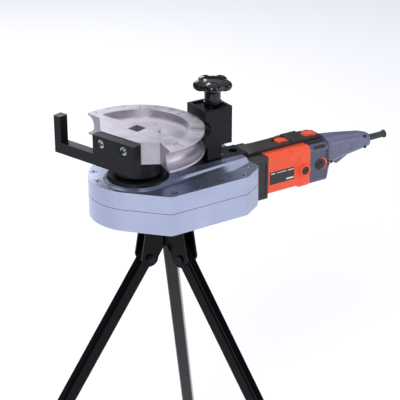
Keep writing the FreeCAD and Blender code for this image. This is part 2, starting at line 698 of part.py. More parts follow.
def lofted(stations):
    wires = [section(*station) for station in stations]
    return Part.makeLoft(wires, True, True)


def shell_of(stations, wall):
    inner = [(x, low + wall, high - wall, half - wall, max(corner - wall, 0.8))
             for x, low, high, half, corner in stations]
    return lofted(stations), lofted(inner)


def motor_housing():
    low, high, half = size("motor_low"), size("motor_top"), size("motor_half")
    start, end, wall = size("flange_end") + 0.1, size("motor_end"), size("motor_wall")
    stations = [(start, low, high, half, 9), (end - 23, low, high, half, 9),
                (end - 18, low - 2, high, half + 2.4, 9), (end, low - 2, high, half + 2, 9)]
    outer, inner = shell_of(stations, wall)
    boss = Part.makeCylinder(10.5, 6, FreeCAD.Vector(BRUSH_X, -half + 1, BRUSH_Z), FreeCAD.Vector(0, -1, 0))
    twin = Part.makeCylinder(10.5, 6, FreeCAD.Vector(BRUSH_X, half - 1, BRUSH_Z), FreeCAD.Vector(0, 1, 0))
    bore = Part.makeCylinder(7.3, 120, FreeCAD.Vector(BRUSH_X, -60, BRUSH_Z), FreeCAD.Vector(0, 1, 0))
    shape = outer.fuse([boss, twin]).cut(inner).cut(bore)
    return node("motor_housing", feature("motor_housing", shape.removeSplitter()))


BRUSH_X, BRUSH_Z = 290.8, 22.0


def rear_housing():
    low, high, half = size("rear_low"), size("rear_top"), size("rear_half")
    start, end, wall = size("motor_end") + 0.1, size("rear_end"), size("motor_wall")
    stations = [(start, low, high, half, 10), (end - 9, low, high, half, 10),
                (end, low + 9, high, half - 7, 14)]
    outer, inner = shell_of(stations, wall)
    handle_way = section(start - 5, 11, 54, 21, 12)
    opening = Part.Face(handle_way).extrude(FreeCAD.Vector(80, 0, 0))
    dial_hole = Part.makeCylinder(4.2, 30, FreeCAD.Vector(DIAL_X, -60, DIAL_Z), FreeCAD.Vector(0, 1, 0))
    shape = outer.cut(inner).cut(opening).cut(dial_hole)
    return node("rear_housing", feature("rear_housing", shape.removeSplitter()))


DIAL_X, DIAL_Z = 323.0, 25.0


def speed_dial():
    knob = turned([("0", "0"), ("9.5", "0"), ("9.5", "2"), ("8.2", "4.5"), ("0", "5")], x=DIAL_X,
                  y="-rear_half - 0.3", z=DIAL_Z, way=ACROSS)
    stem = cylinder("4", "10", x=DIAL_X, y="-rear_half + 9", z=DIAL_Z, way=ACROSS)
    return node("speed_dial", fuse(knob, stem))


# along X: station, underside, top, half width, corner radius
HANDLE_STATIONS = [(348.0, 8.0, 56.0, 23.5, 13.0), (388.0, 12.5, 52.5, 19.0, 13.0),
                   (434.0, 16.5, 46.0, 14.5, 11.0), (450.0, 18.0, 41.0, 12.0, 9.0)]


def handle_shells():
    outer, inner = shell_of(HANDLE_STATIONS, 2.6)
    end = Part.makeBox(6, 60, 60, FreeCAD.Vector(446.5, -30, 0))
    boot_hole = Part.makeCylinder(6.6, 30, FreeCAD.Vector(436, 0, BOOT_Z), FreeCAD.Vector(1, 0, 0))
    trigger_way = Part.makeBox(32, 11, 20, FreeCAD.Vector(375, -5.5, 0))
    hollow = outer.cut(inner.cut(end)).cut(boot_hole).cut(trigger_way)
    for name, start in (("handle_near_shell", -40.05), ("handle_far_shell", 0.05)):
        half = Part.makeBox(160, 40, 90, FreeCAD.Vector(320, start, -10))
        node(name, feature(name, hollow.common(half).removeSplitter()))


BOOT_Z = 30.0


def cable_boot():
    sleeve = turned([("3.8", "0"), ("6.4", "0"), ("6.4", "6.5"), ("5.6", "8"), ("5.2", "42"), ("6.9", "46"),
                     ("6.9", "48"), ("3.8", "48")], x="442", z=BOOT_Z, way=ALONG)
    return node("cable_boot", sleeve)


def top_rail():
    """Black strip along the top of the motor, with a bridge over the sliding switch."""
    strip = padded("XZ_Plane", [("rail_start", "flange_top + 0.1"), ("rail_finish", "flange_top + 0.1"),
                                ("rail_finish", "rail_top - 4.2"), ("322", "rail_top - 1"), ("300", "rail_top"),
                                ("rail_start + 20", "rail_top"), ("rail_start", "rail_top - 2")], "2 * rail_half",
                   y="rail_half")
    slot = box("254", "-8.3", "rail_top - 5", "90", "16.6", "20")
    bridge = cut(box("280", "-rail_half", "rail_top - 5", "30", "2 * rail_half", "7"),
                 box("270", "-8.3", "rail_top - 5.1", "50", "16.6", "5.6"))
    shoulder = box("motor_end + 0.5", "-24", "rear_top + 0.1", "40", "48", "3.4")
    return node("top_rail", fuse(cut(fuse(strip, shoulder), slot), bridge))


def direction_slide():
    bar = box("261", "-8", "rail_top - 4.8", "75", "16", "4.6")
    front = box("263", "-8", "rail_top - 0.5", "10", "16", "1.8")
    back = box("316", "-8", "rail_top - 0.5", "18", "16", "2.2")
    return node("direction_slide", fuse(bar, front, back))


def rating_plate():
    return node("rating_plate", box("223", "-motor_half - 0.9", "11", "48", "0.85", "21"))


def brush_caps():
    caps = []
    for side in (-1, 1):
        y = -size("motor_half") - 3.6 if side < 0 else size("motor_half") + 1.4
        cap = cylinder("7.2", "2.2", x=BRUSH_X, y=f"{y} + 2.2", z=BRUSH_Z, way=ACROSS)
        slot = box(f"{BRUSH_X} - 5", f"{y} - 1" if side < 0 else f"{y} + 1.2", f"{BRUSH_Z} - 0.8", "10", "2", "1.6")
        caps.append(cut(cap, slot))
    return node("brush_caps", group(*caps))


def carbon_brushes():
    blocks = [box(f"{BRUSH_X} - 4", "-21" if side < 0 else "11.1", f"{BRUSH_Z} - 0.5", "8", "9.9", "8")
              for side in (-1, 1)]
    return node("carbon_brushes", group(*blocks))


def brush_holders():
    tubes = []
    for side in (-1, 1):
        start = "-33.5" if side < 0 else "12.5"
        tube = box(f"{BRUSH_X} - 5.6", start, f"{BRUSH_Z} - 2.1", "11.2", "21", "11.2")
        inside = box(f"{BRUSH_X} - 4.1", f"{start} - 1", f"{BRUSH_Z} - 0.6", "8.2", "23", "8.2")
        tubes.append(cut(tube, inside))
    return node("brush_holders", group(*tubes))


def brush_springs():
    coils = []
    for side in (-1, 1):
        start = "-32.5" if side < 0 else "21.5"
        coil = doc.addObject("Part::Feature", "coil")
        helix = Part.makeHelix(2.2, 11, 2.4)
        ring = Part.Wire(Part.makeCircle(0.35, FreeCAD.Vector(2.4, 0, 0), FreeCAD.Vector(0, 1, 0)))
        coil.Shape = Part.Wire(helix).makePipeShell([ring], True, True)
        spot = FreeCAD.Vector(BRUSH_X + size("drive_x"), float(start) + size("drive_y"),
                              BRUSH_Z + 3.5 + size("ground"))
        coil.Placement = FreeCAD.Placement(spot, FreeCAD.Rotation(FreeCAD.Vector(1, 0, 0), -90))
        coils.append(coil)
    return node("brush_springs", group(*coils))


def armature():
    axis = "motor_axis"
    rod = turned([("0", "0"), ("3.5", "0"), ("3.5", "18"), ("5", "19"), ("5", "219"), ("0", "219")],
                 x="fast_shaft_x + 15", z=axis, way=ALONG)
    node("armature_shaft", rod)
    core = cylinder("18", "46", x="232", z=axis, way=ALONG)
    slots = []
    for i in range(8):
        angle = math.radians(45 * i)
        slots.append(cylinder("1.6", "50", x="230", y=f"17 * {math.cos(angle):.4f}",
                              z=f"{axis} + 17 * {math.sin(angle):.4f}", way=ALONG))
    bore = cylinder("5.02", "60", x="226", z=axis, way=ALONG)
    node("armature_core", cut(core, *slots, bore))
    node("commutator", cut(cylinder("11", "16", x="286.5", z=axis, way=ALONG),
                           cylinder("5.02", "30", x="280", z=axis, way=ALONG)))
    hub = cut(cylinder("8", "9", x="221", z=axis, way=ALONG), cylinder("5.02", "20", x="216", z=axis, way=ALONG))
    blades = []
    for i in range(9):
        blade = box("221.5", "-0.8", "6.5", "8", "1.6", "17")
        blade.Placement.Rotation = FreeCAD.Rotation(FreeCAD.Vector(1, 0, 0), 40 * i)
        c, s = math.cos(math.radians(40 * i)), math.sin(math.radians(40 * i))
        place(blade, "221.5", f"-0.8 * {c:.4f} - 6.5 * {s:.4f}", f"{axis} - 0.8 * {s:.4f} + 6.5 * {c:.4f}")
        blades.append(blade)
    node("cooling_fan", fuse(hub, *blades))


def armature_bearings():
    ends = [bearing("5", "16", "9", x="184", z="motor_axis", way=ALONG),
            bearing("5", "16", "8", x="318", z="motor_axis", way=ALONG)]
    return node("armature_bearings", group(*ends))


def bearing_bracket():
    plate = box("315", "-27", "0", "13", "54", "52")
    seat = cylinder("16", "20", x="317", z="motor_axis", way=ALONG)
    shaft_way = cylinder("7", "30", x="310", z="motor_axis", way=ALONG)
    return node("rear_bearing_bracket", cut(plate, seat, shaft_way))


def stator():
    ring = cylinder("28", "44", x="233", z="motor_axis", way=ALONG)
    bore = cylinder("18.6", "60", x="225", z="motor_axis", way=ALONG)
    flats = [box("225", y, "motor_axis - 10", "60", "10", "20") for y in ("-33", "23")]
    return node("stator_core", cut(ring, bore, *flats))


def switch_and_trigger():
    node("trigger_switch", box("368", "-7", "24", "40", "14", "18"))
    side = [("381", "2"), ("385", "0.5"), ("399", "7.5"), ("405", "10"), ("405", "13"), ("402", "19"),
            ("377", "17")]
    lever = padded("XZ_Plane", side, "10", y="5")
    node("trigger", lever)
    spring = feature("trigger_spring", Part.Wire(Part.makeHelix(1.1, 4.6, 2.0)).makePipeShell(
        [Part.Wire(Part.makeCircle(0.3, FreeCAD.Vector(2.0, 0, 0), FreeCAD.Vector(0, 1, 0)))], True, True),
        x="390", z="18.9")
    node("trigger_spring", spring)


def handle_screws():
    screws = []
    for x, z in (("436", "41"), ("438", "21.5"), ("360", "15")):
        screws.append(cylinder("2.6", "2", x=x, y="-12" if x != "360" else "-19.5", z=z, way=ACROSS))
    return node("handle_screws", group(*screws))


# ---------------------------------------------------------------- tripod

def leg_way(index):
    return size("leg_turn") - 120 * index


def tripod_frame(index):
    """Placement of one leg's frame: origin on its pivot, x pointing outwards."""
    angle = math.radians(leg_way(index))
    out = size("pivot_out")
    x = size("drive_x + tripod_x") + out * math.cos(angle)
    y = size("drive_y") + out * math.sin(angle)
    return FreeCAD.Placement(FreeCAD.Vector(x, y, size("ground - pivot_drop")), about_up(leg_way(index)))


def tripod_head():
    head_thick, drop, out = size("head_thick"), size("pivot_drop"), size("pivot_out")
    ear, gap, lobe = size("ear_thick"), size("ear_gap"), size("lobe_radius")
    shape = Part.makeCylinder(size("head_radius"), head_thick, FreeCAD.Vector(0, 0, -head_thick))
    shape = shape.fuse(Part.makeCylinder(8.5, drop - 12, FreeCAD.Vector(0, 0, 12 - drop)))
    for i in range(3):
        for side in (-1, 1):
            start = side * gap / 2 if side > 0 else -gap / 2 - ear
            corners = [(12, -7.5), (38, -7.5), (out + lobe, -drop), (out - lobe, -drop), (12, 16 - drop)]
            points = [FreeCAD.Vector(x, start, z) for x, z in corners]
            web = Part.Face(Part.makePolygon(points + points[:1])).extrude(FreeCAD.Vector(0, ear, 0))
            round_end = Part.makeCylinder(lobe, ear, FreeCAD.Vector(out, start, -drop), FreeCAD.Vector(0, 1, 0))
            plate = web.fuse(round_end)
            plate.rotate(FreeCAD.Vector(), FreeCAD.Vector(0, 0, 1), leg_way(i))
            shape = shape.fuse(plate)
    for i in range(3):
        hole = Part.makeCylinder(size("bolt_radius") + 0.05, 60, FreeCAD.Vector(out, -30, -drop),
                                 FreeCAD.Vector(0, 1, 0))
        hole.rotate(FreeCAD.Vector(), FreeCAD.Vector(0, 0, 1), leg_way(i))
        shape = shape.cut(hole)
    for angle in head_bolt_angles():
        spot = FreeCAD.Vector(44 * math.cos(angle), 44 * math.sin(angle), -20)
        shape = shape.cut(Part.makeCylinder(3.2, 40, spot))
    return node("tripod_head", feature("tripod_head", shape.removeSplitter(), x="tripod_x", z="-0.02"))


def head_bolts():
    bolts = []
    for angle in head_bolt_angles():
        x, y = f"tripod_x + 44 * {math.cos(angle):.4f}", f"44 * {math.sin(angle):.4f}"
        shank = cylinder("2.9", "10.6", x=x, y=y, z="-head_thick - 1")
        head = doc.addObject("Part::Prism", "head")
        head.Polygon = 6
        bind(head, Circumradius="5.6", Height="4")
        place(head, x, y, "-head_thick - 4.1")
        bolts.append(fuse(shank, head))
    return node("head_bolts", group(*bolts))


def pivot_bolts():
    bolts = []
    reach = size("ear_gap / 2 + ear_thick")
    for i in range(3):
        rod = Part.makeCylinder(size("bolt_radius"), 2 * reach + 8, FreeCAD.Vector(0, -reach - 1, 0),
                                FreeCAD.Vector(0, 1, 0))
        head = Part.makeCylinder(7, 3.5, FreeCAD.Vector(0, -reach - 3.6, 0), FreeCAD.Vector(0, 1, 0))
        nut = Part.makePolygon([FreeCAD.Vector(7 * math.cos(math.radians(60 * k)), reach + 0.1,
                                               7 * math.sin(math.radians(60 * k))) for k in range(7)])
        nut = Part.Face(nut).extrude(FreeCAD.Vector(0, 5, 0))
        item = doc.addObject("Part::Feature", "bolt")
        item.Shape = rod.fuse([head, nut]).removeSplitter()
        item.Placement = tripod_frame(i)
        bolts.append(item)
    return node("leg_pivot_bolts", group(*bolts))


LEG_NAMES = ("left", "far", "near")


def legs():
    side, wall = size("leg_side"), size("leg_wall")
    long, stub = size("leg_long"), size("leg_stub")
    tilt = FreeCAD.Rotation(FreeCAD.Vector(0, 1, 0), -size("leg_tilt"))
    floor = -size("ground - pivot_drop")
    for i, name in enumerate(LEG_NAMES):
        tube = Part.makeBox(side, side, long + stub, FreeCAD.Vector(-side / 2, -side / 2, -long))
        edges = [e for e in tube.Edges if e.Length > long]
        tube = tube.makeFillet(4.0, edges)
        inside = Part.makeBox(side - 2 * wall, side - 2 * wall, long + stub + 2,
                              FreeCAD.Vector(-side / 2 + wall, -side / 2 + wall, -long - 1))
        hole = Part.makeCylinder(size("bolt_radius") + 0.06, 60, FreeCAD.Vector(0, -30, 0), FreeCAD.Vector(0, 1, 0))
        tube = tube.cut(inside).cut(hole)
        item = doc.addObject("Part::Feature", "tube")
        item.Shape = tube
        item.Placement = tripod_frame(i).multiply(FreeCAD.Placement(FreeCAD.Vector(), tilt))
        node(f"{name}_leg", item)

        cap_side, cap_long = size("cap_side"), size("cap_long")
        corner = FreeCAD.Vector(-cap_side / 2, -cap_side / 2, -long - 60)
        cap = Part.makeBox(cap_side, cap_side, cap_long + 60, corner)
        cap = cap.makeFillet(3, [e for e in cap.Edges if e.Length > cap_long + 50])
        bore_corner = FreeCAD.Vector(-side / 2 - 0.05, -side / 2 - 0.05, -long - 0.05)
        cap = cap.cut(Part.makeBox(side + 0.1, side + 0.1, 100, bore_corner))
        cap.rotate(FreeCAD.Vector(), FreeCAD.Vector(0, 1, 0), -size("leg_tilt"))
        under = Part.makeBox(2000, 2000, 400, FreeCAD.Vector(-1000, -1000, floor - 400))
        item = doc.addObject("Part::Feature", "cap")
        item.Shape = cap.cut(under).removeSplitter()
        item.Placement = tripod_frame(i)
        node(f"{name}_foot_cap", item)


# ---------------------------------------------------------------- assembly

def build():
    lower_housing()
    gasket()
    gearbox_lid()
    lid_screws()
    support_plate()
    support_screws()
    bearing_cover()
    drive_shaft()
    drive_hub()
    gears()
    lay_shafts()
    gearbox_bearings()
    former()
    holding_bar()
    bar_screws()
    back_former()
    back_pin()
    star_knob()
    knob_spindle()
    motor_flange()
    flange_screws()
    motor_housing()
    rear_housing()
    speed_dial()
    handle_shells()
    handle_screws()
    cable_boot()
    top_rail()
    direction_slide()
    rating_plate()
    brush_caps()
    carbon_brushes()
    brush_holders()
    brush_springs()
    armature()
    armature_bearings()
    bearing_bracket()
    stator()
    switch_and_trigger()
    tripod_head()
    head_bolts()
    pivot_bolts()
    legs()


build()
doc.recompute()
faults = [o.Label for o in doc.Objects if "Invalid" in o.State or "Error" in o.State]
faults += [o.Label for o in NODES if o.Shape.isNull() or not o.Shape.isValid() or not o.Shape.Solids]
if faults:
    raise SystemExit(f"failed: {faults}")
os.makedirs("parts", exist_ok=True)
whole = FreeCAD.BoundBox()
for item in NODES:
    item.Shape.exportStep(f"parts/{item.Label}.step")
    whole.add(item.Shape.BoundBox)
print(len(NODES), "nodes")
print("box", whole)
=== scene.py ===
import json
import math

import bpy
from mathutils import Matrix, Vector

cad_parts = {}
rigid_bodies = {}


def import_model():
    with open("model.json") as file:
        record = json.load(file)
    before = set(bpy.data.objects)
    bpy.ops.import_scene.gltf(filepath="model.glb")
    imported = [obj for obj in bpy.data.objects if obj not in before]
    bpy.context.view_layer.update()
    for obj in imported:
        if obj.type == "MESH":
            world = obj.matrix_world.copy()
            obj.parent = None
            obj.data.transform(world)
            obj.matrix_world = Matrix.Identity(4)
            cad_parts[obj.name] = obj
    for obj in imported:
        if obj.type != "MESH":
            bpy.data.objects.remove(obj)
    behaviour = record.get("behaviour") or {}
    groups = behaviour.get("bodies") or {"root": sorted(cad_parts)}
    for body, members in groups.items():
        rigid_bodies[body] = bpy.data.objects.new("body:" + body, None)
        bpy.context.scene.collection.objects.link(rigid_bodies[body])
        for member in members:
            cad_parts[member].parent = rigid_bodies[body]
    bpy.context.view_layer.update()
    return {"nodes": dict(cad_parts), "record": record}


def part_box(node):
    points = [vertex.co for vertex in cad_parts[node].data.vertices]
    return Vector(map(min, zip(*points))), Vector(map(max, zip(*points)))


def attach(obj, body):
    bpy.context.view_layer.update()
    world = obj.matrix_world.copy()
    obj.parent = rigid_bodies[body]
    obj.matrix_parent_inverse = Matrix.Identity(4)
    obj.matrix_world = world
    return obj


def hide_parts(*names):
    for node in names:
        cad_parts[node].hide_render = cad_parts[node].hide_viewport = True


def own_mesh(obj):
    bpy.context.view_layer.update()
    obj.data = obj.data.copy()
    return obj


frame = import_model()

MM = 0.001
WAVE = 0.314  # length in metres of one wave of Blender's wave texture at scale 1
NODES = frame["nodes"]
BODY_OF = {n: body for body, members in frame["record"]["behaviour"]["bodies"].items() for n in members}


# ---------------------------------------------------------------- places read from the frame

def middle(node):
    low, high = (Vector(corner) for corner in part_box(node))
    return (low + high) / 2


AXIS = middle("drive_hub")
FORMER_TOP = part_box("bending_former")[1][2]
GROUND_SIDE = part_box("gearbox_lower_housing")[0][2]


def spot(x, y, z):
    """A place in millimetres along and across the machine from the drive axis, up from the casting."""
    return Vector((AXIS.x + x * MM, AXIS.y + y * MM, GROUND_SIDE + z * MM))


# ---------------------------------------------------------------- selecting and finishing

def clear():
    """Leaves edit mode and deselects everything, the loaded CAD pieces too."""
    if bpy.context.object and bpy.context.object.mode != "OBJECT":
        bpy.ops.object.mode_set(mode="OBJECT")
    bpy.ops.object.select_all(action="DESELECT")


def pick(*pieces):
    clear()
    for piece in pieces:
        piece.select_set(True)
    bpy.context.view_layer.objects.active = pieces[0]


def apply_modifiers(piece):
    pick(piece)
    for modifier in list(piece.modifiers):
        bpy.ops.object.modifier_apply(modifier=modifier.name)


def bevelled(piece, width, segments=2, angle=32):
    """Eases the edges sharper than the angle; the width is in millimetres."""
    modifier = piece.modifiers.new("edge", "BEVEL")
    modifier.width = width * MM
    modifier.segments = segments
    modifier.limit_method = "ANGLE"
    modifier.angle_limit = math.radians(angle)
    modifier.use_clamp_overlap = True
    apply_modifiers(piece)


def smooth(piece, angle=28):
    """Smooth faces up to the angle, with the large faces kept flat up to their edges."""
    pick(piece)
    bpy.ops.object.shade_smooth_by_angle(angle=math.radians(angle))
    modifier = piece.modifiers.new("flat_faces", "WEIGHTED_NORMAL")
    modifier.keep_sharp = True
    apply_modifiers(piece)


def cleaned(piece, threshold=1e-5, flat=0.6):
    """Merges the doubles and takes out the edges inside flat faces."""
    pick(piece)
    bpy.ops.object.mode_set(mode="EDIT")
    bpy.ops.mesh.select_all(action="SELECT")
    bpy.ops.mesh.remove_doubles(threshold=threshold)
    bpy.ops.mesh.dissolve_limited(angle_limit=math.radians(flat))
    bpy.ops.object.mode_set(mode="OBJECT")


def outward(piece):
    """Closes the doubles and turns all faces outwards."""
    pick(piece)
    bpy.ops.object.mode_set(mode="EDIT")
    bpy.ops.mesh.select_all(action="SELECT")
    bpy.ops.mesh.remove_doubles(threshold=1e-6)
    bpy.ops.mesh.normals_make_consistent(inside=False)
    bpy.ops.object.mode_set(mode="OBJECT")


def carve(piece, cutters):
    """Takes the cutters' shapes out of a piece."""
    for cutter in cutters:
        outward(cutter)
    pick(*cutters)
    if len(cutters) > 1:
        bpy.ops.object.join()
    tool = bpy.context.active_object
    modifier = piece.modifiers.new("carve", "BOOLEAN")
    modifier.operation = "DIFFERENCE"
    modifier.solver = "EXACT"
    modifier.use_self = True
    modifier.object = tool
    apply_modifiers(piece)
    bpy.data.objects.remove(tool)


def copy_of(node, name, material, bevel=0.0, segments=2, angle=28, cutters=()):
    """A merged copy of a CAD piece with its edges eased, which stands for it."""
    pick(NODES[node])
    bpy.ops.object.duplicate()
    piece = bpy.context.active_object
    bpy.ops.object.parent_clear(type="CLEAR_KEEP_TRANSFORM")
    for key in list(piece.keys()):
        if key.startswith("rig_"):
            del piece[key]
    piece.name = piece.data.name = name
    cleaned(piece)
    if cutters:
        carve(piece, cutters)
    if bevel:
        bevelled(piece, bevel, segments)
    smooth(piece, angle)
    dress(piece, material)
    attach(piece, BODY_OF[node])
    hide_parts(node)
    return piece


def freeze(piece):
    """Puts a piece's place, turn and scale into its mesh."""
    pick(piece)
    bpy.ops.object.transform_apply(location=True, rotation=True, scale=True)
    return piece


def block(x, y, z, long, wide, high, turn=(0, 0, 0), ease=0.0, segments=3):
    """A box round a middle point in the machine's millimetres."""
    clear()
    bpy.ops.mesh.primitive_cube_add(size=1, location=spot(x, y, z), scale=(long * MM, wide * MM, high * MM),
                                    rotation=[math.radians(a) for a in turn])
    item = freeze(bpy.context.active_object)
    if ease:
        bevelled(item, ease, segments)
    return item


def rod(x, y, z, radius, high, turn=(0, 0, 0), vertices=48, ease=0.0):
    """A round bar about a middle point in the machine's millimetres, upright before its turn."""
    clear()
    bpy.ops.mesh.primitive_cylinder_add(vertices=vertices, radius=radius * MM, depth=high * MM,
                                        location=spot(x, y, z), rotation=[math.radians(a) for a in turn])
    item = freeze(bpy.context.active_object)
    if ease:
        bevelled(item, ease)
    return item


def joined(*items):
    pick(*items)
    bpy.ops.object.join()
    return bpy.context.active_object


def dress(piece, material):
    """Gives a piece one finish."""
    piece.data.materials.clear()
    piece.data.materials.append(material)


def settle(piece, name, material, body):
    """Freezes a new piece's place into its mesh and hangs it on its body."""
    freeze(piece)
    piece.name = piece.data.name = name
    dress(piece, material)
    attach(piece, body)
    return piece


# ---------------------------------------------------------------- materials

def linear(code):
    """sRGB hex to the linear colour that the shader reads."""
    parts = [int(code[i:i + 2], 16) / 255 for i in (1, 3, 5)]
    return [c / 12.92 if c <= 0.04045 else ((c + 0.055) / 1.055) ** 2.4 for c in parts] + [1.0]


def add(tree, kind, settings=None, **inputs):
    """Adds a node with its settings. An input goes by name, or by number as i6, and a socket is linked."""
    item = tree.nodes.new(kind)
    for name, value in (settings or {}).items():
        setattr(item, name, value)
    for name, value in inputs.items():
        numbered = name[0] == "i" and name[1:].isdigit()
        socket = item.inputs[int(name[1:]) if numbered else name.replace("_", " ")]
        if isinstance(value, bpy.types.NodeSocket):
            tree.links.new(value, socket)
        else:
            socket.default_value = value
    return item


def new_material(name, slot, **shader):
    """An empty finish with its shader and the object coordinates that its patterns read. The slot is not
    used.
    """
    material = bpy.data.materials.new(name)
    material.use_nodes = True
    tree = material.node_tree
    tree.nodes.clear()
    surface = add(tree, "ShaderNodeBsdfPrincipled", **shader)
    add(tree, "ShaderNodeOutputMaterial", Surface=surface.outputs[0])
    where = add(tree, "ShaderNodeTexCoord").outputs["Object"]
    return material, tree, surface, where


def uneven(tree, surface, where, light, dark, size_mm, rough, spread):
    """Colour and roughness drift between two shades over patches of the given size."""
    noise = add(tree, "ShaderNodeTexNoise", Vector=where, Scale=1000 / size_mm, Detail=4.0, Roughness=0.55)
    ramp = add(tree, "ShaderNodeMapRange", Value=noise.outputs["Fac"], From_Min=0.35, From_Max=0.65)
    colour = add(tree, "ShaderNodeMix", {"data_type": "RGBA"}, Factor=ramp.outputs[0],
                 i6=linear(dark), i7=linear(light))
    tree.links.new(colour.outputs[2], surface.inputs["Base Color"])
    shine = add(tree, "ShaderNodeMapRange", Value=noise.outputs["Fac"], From_Min=0.3, From_Max=0.7,
                To_Min=rough - spread, To_Max=rough + spread)
    tree.links.new(shine.outputs[0], surface.inputs["Roughness"])


def pitted(tree, surface, where, size_mm, depth_mm, strength):
    """Fine surface texture as bump."""
    noise = add(tree, "ShaderNodeTexNoise", Vector=where, Scale=1000 / size_mm, Detail=2.0, Roughness=0.6)
    bump = add(tree, "ShaderNodeBump", Strength=strength, Distance=depth_mm * MM, Height=noise.outputs["Fac"])
    tree.links.new(bump.outputs[0], surface.inputs["Normal"])


def die_cast_aluminium():
    """Tumbled die-cast aluminium: even satin metal with a fine orange-peel skin."""
    material, tree, surface, where = new_material("die_cast_aluminium", "cast_aluminium", Metallic=0.85)
    uneven(tree, surface, where, "#ABB3CB", "#A1A9C2", 60, 0.25, 0.04)
    pitted(tree, surface, where, 2.5, 0.01, 0.15)
    return material


def turned_aluminium():
    """Turned aluminium: fine rings round the drive axis that break up its reflections."""
    material, tree, surface, where = new_material("turned_aluminium", "machined_aluminium", Metallic=0.9)
    uneven(tree, surface, where, "#BBB6C0", "#A8A3AE", 25, 0.42, 0.07)
    moved = add(tree, "ShaderNodeMapping", Vector=where, Location=(-AXIS.x, -AXIS.y, -FORMER_TOP))
    rings = add(tree, "ShaderNodeTexWave",
                {"wave_type": "RINGS", "rings_direction": "Z", "wave_profile": "SIN"},
                Vector=moved.outputs[0], Scale=WAVE / (2.0 * MM), Distortion=0.4, Detail=2.0)
    bump = add(tree, "ShaderNodeBump", Strength=0.25, Distance=0.05 * MM, Height=rings.outputs["Fac"])
    tree.links.new(bump.outputs[0], surface.inputs["Normal"])
    return material


def black_oxide_steel():
    """Black oxide on milled steel: nearly black, oily sheen, faint blue."""
    material, tree, surface, where = new_material("black_oxide_steel", "black_steel", Specular_IOR_Level=0.2)
    uneven(tree, surface, where, "#101217", "#0A0B0F", 30, 0.36, 0.06)
    pitted(tree, surface, where, 1.2, 0.04, 0.4)
    return material


def black_enamel():
    """Black stoving enamel on steel tube: glossy with slight orange peel."""
    material, tree, surface, where = new_material("black_enamel", "tripod_enamel", Specular_IOR_Level=0.12)
    uneven(tree, surface, where, "#08090B", "#040506", 80, 0.14, 0.04)
    pitted(tree, surface, where, 6.0, 0.02, 0.2)
    return material


def zinc_plate():
    """Zinc-plated steel: bright cool grey with a soft sheen."""
    material, tree, surface, where = new_material("zinc_plate", "zinc_steel", Metallic=1.0)
    uneven(tree, surface, where, "#B5B8BD", "#92959B", 6, 0.30, 0.08)
    return material


def ground_steel():
    """Ground steel: even grey with a very fine grain."""
    material, tree, surface, where = new_material("bright_ground_steel", "ground_steel", Metallic=1.0)
    uneven(tree, surface, where, "#8C8C8F", "#6C6C70", 4, 0.32, 0.1)
    pitted(tree, surface, where, 0.8, 0.02, 0.4)
    return material


def case_hardened_steel():
    """Case-hardened gear steel: dark grey with oil film."""
    material, tree, surface, where = new_material("case_hardened_steel", "gear_steel", Metallic=1.0)
    uneven(tree, surface, where, "#77746F", "#55524E", 8, 0.34, 0.08)
    return material


def varnished_iron():
    """Varnished core iron: dull brown-grey, with lines about 1 mm apart, coarser than the real sheets."""
    material, tree, surface, where = new_material("varnished_iron", "core_steel", Metallic=0.4)
    uneven(tree, surface, where, "#4A4540", "#322E2B", 10, 0.5, 0.08)
    lines = add(tree, "ShaderNodeTexWave", {"wave_type": "BANDS", "bands_direction": "X"},
                Vector=where, Scale=300.0)
    bump = add(tree, "ShaderNodeBump", Strength=0.4, Distance=0.1 * MM, Height=lines.outputs["Fac"])
    tree.links.new(bump.outputs[0], surface.inputs["Normal"])
    return material


def plain(name, slot, light, dark, size_mm, rough, metallic=0.0):
    """A soft drift of shade over a fine grain, for drawn copper and brass, graphite and print."""
    material, tree, surface, where = new_material(name, slot, Metallic=metallic)
    uneven(tree, surface, where, light, dark, size_mm, rough, 0.06)
    pitted(tree, surface, where, 1.0, 0.02, 0.3)
    return material


def orange_nylon():
    """Glass-filled nylon, moulded in orange: satin with a fine spark-eroded grain."""
    material, tree, surface, where = new_material("moulded_orange_nylon", "orange_nylon")
    uneven(tree, surface, where, "#E64E28", "#DC4722", 40, 0.40, 0.04)
    pitted(tree, surface, where, 0.9, 0.04, 0.35)
    return material


def grey_nylon():
    """Glass-filled nylon, moulded in blue-grey: fine grain, slightly shiny where handled."""
    material, tree, surface, where = new_material("moulded_grey_nylon", "grey_nylon")
    uneven(tree, surface, where, "#62657F", "#595C75", 35, 0.30, 0.05)
    pitted(tree, surface, where, 0.9, 0.05, 0.4)
    return material


def shaded_grey_nylon():
    """The same nylon coloured darker for the fan housing: painted shade."""
    material, tree, surface, where = new_material("moulded_grey_nylon_painted_shade", "grey_nylon")
    uneven(tree, surface, where, "#4A4D62", "#414458", 35, 0.36, 0.05)
    pitted(tree, surface, where, 0.9, 0.05, 0.4)
    return material


def engraving():
    """Paint left in engraved lines: dull dark grey."""
    material, tree, surface, where = new_material("engraving_paint", "machined_aluminium")
    uneven(tree, surface, where, "#2A282D", "#1E1C20", 3, 0.7, 0.05)
    return material


def black_nylon():
    """Glass-filled nylon, moulded in black: satin."""
    material, tree, surface, where = new_material("moulded_black_nylon", "black_nylon")
    uneven(tree, surface, where, "#1C1B20", "#131216", 35, 0.38, 0.05)
    pitted(tree, surface, where, 0.9, 0.05, 0.4)
    return material


def phenolic():
    """Polished phenolic resin: deep black with sharp reflections."""
    material, tree, surface, where = new_material("polished_phenolic", "black_phenolic",
                                                  Specular_IOR_Level=0.45)
    uneven(tree, surface, where, "#0B0B0D", "#060607", 30, 0.14, 0.03)
    pitted(tree, surface, where, 8.0, 0.05, 0.2)
    return material


def label_film():
    """Printed polyester film: even black with a soft gloss."""
    material, tree, surface, where = new_material("label_film", "label")
    uneven(tree, surface, where, "#1B1A1D", "#151417", 20, 0.28, 0.03)
    return material


